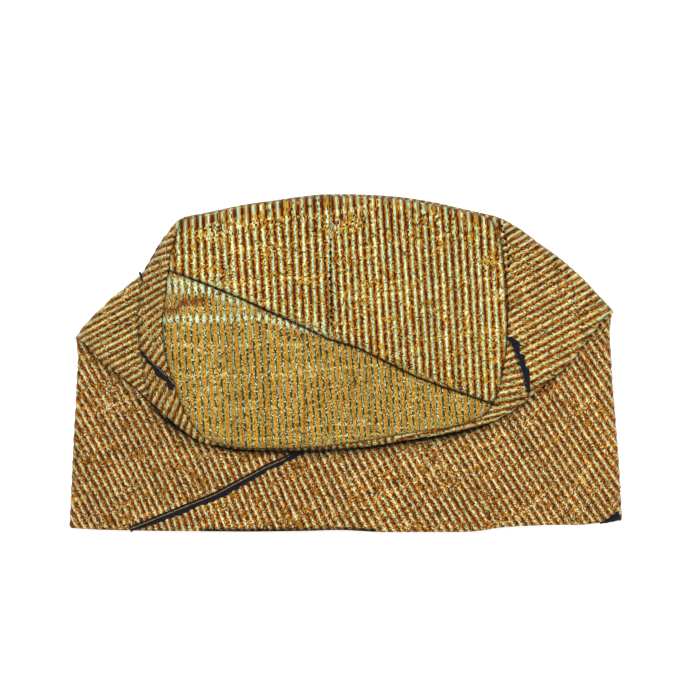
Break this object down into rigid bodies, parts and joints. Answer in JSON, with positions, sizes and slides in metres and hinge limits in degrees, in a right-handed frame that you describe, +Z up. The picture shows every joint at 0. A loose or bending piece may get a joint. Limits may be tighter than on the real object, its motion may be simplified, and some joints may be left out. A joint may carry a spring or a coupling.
{
  "type": "aso oke cap",
  "caption": "Tall strip-cloth cap lying folded flat: pressed tube wall, oval crown tipped forward over a hidden crease, two side wings, lapped black selvages.",
  "frame": {"origin": "middle of the cap's footprint, on the surface that it lies on", "axes": "+X across the cap, to the right as the picture shows it; +Y from the mouth to the crown's back edge; +Z up, off the surface"},
  "size_m": [0.2924, 0.1768, 0.0339],
  "materials": {
    "aso_oke": "ribbed strip cloth in brown and gold cotton with pale metallic threads",
    "selvage": "black cotton edge of the strips"
  },
  "bodies": {
    "root": {"wall": "aso_oke", "crown_upper": "aso_oke", "crown_lower": "aso_oke", "front_selvage": "selvage", "left_selvage": "selvage", "right_selvage": "selvage", "corner_selvage": "selvage"}
  },
  "joints": []
}
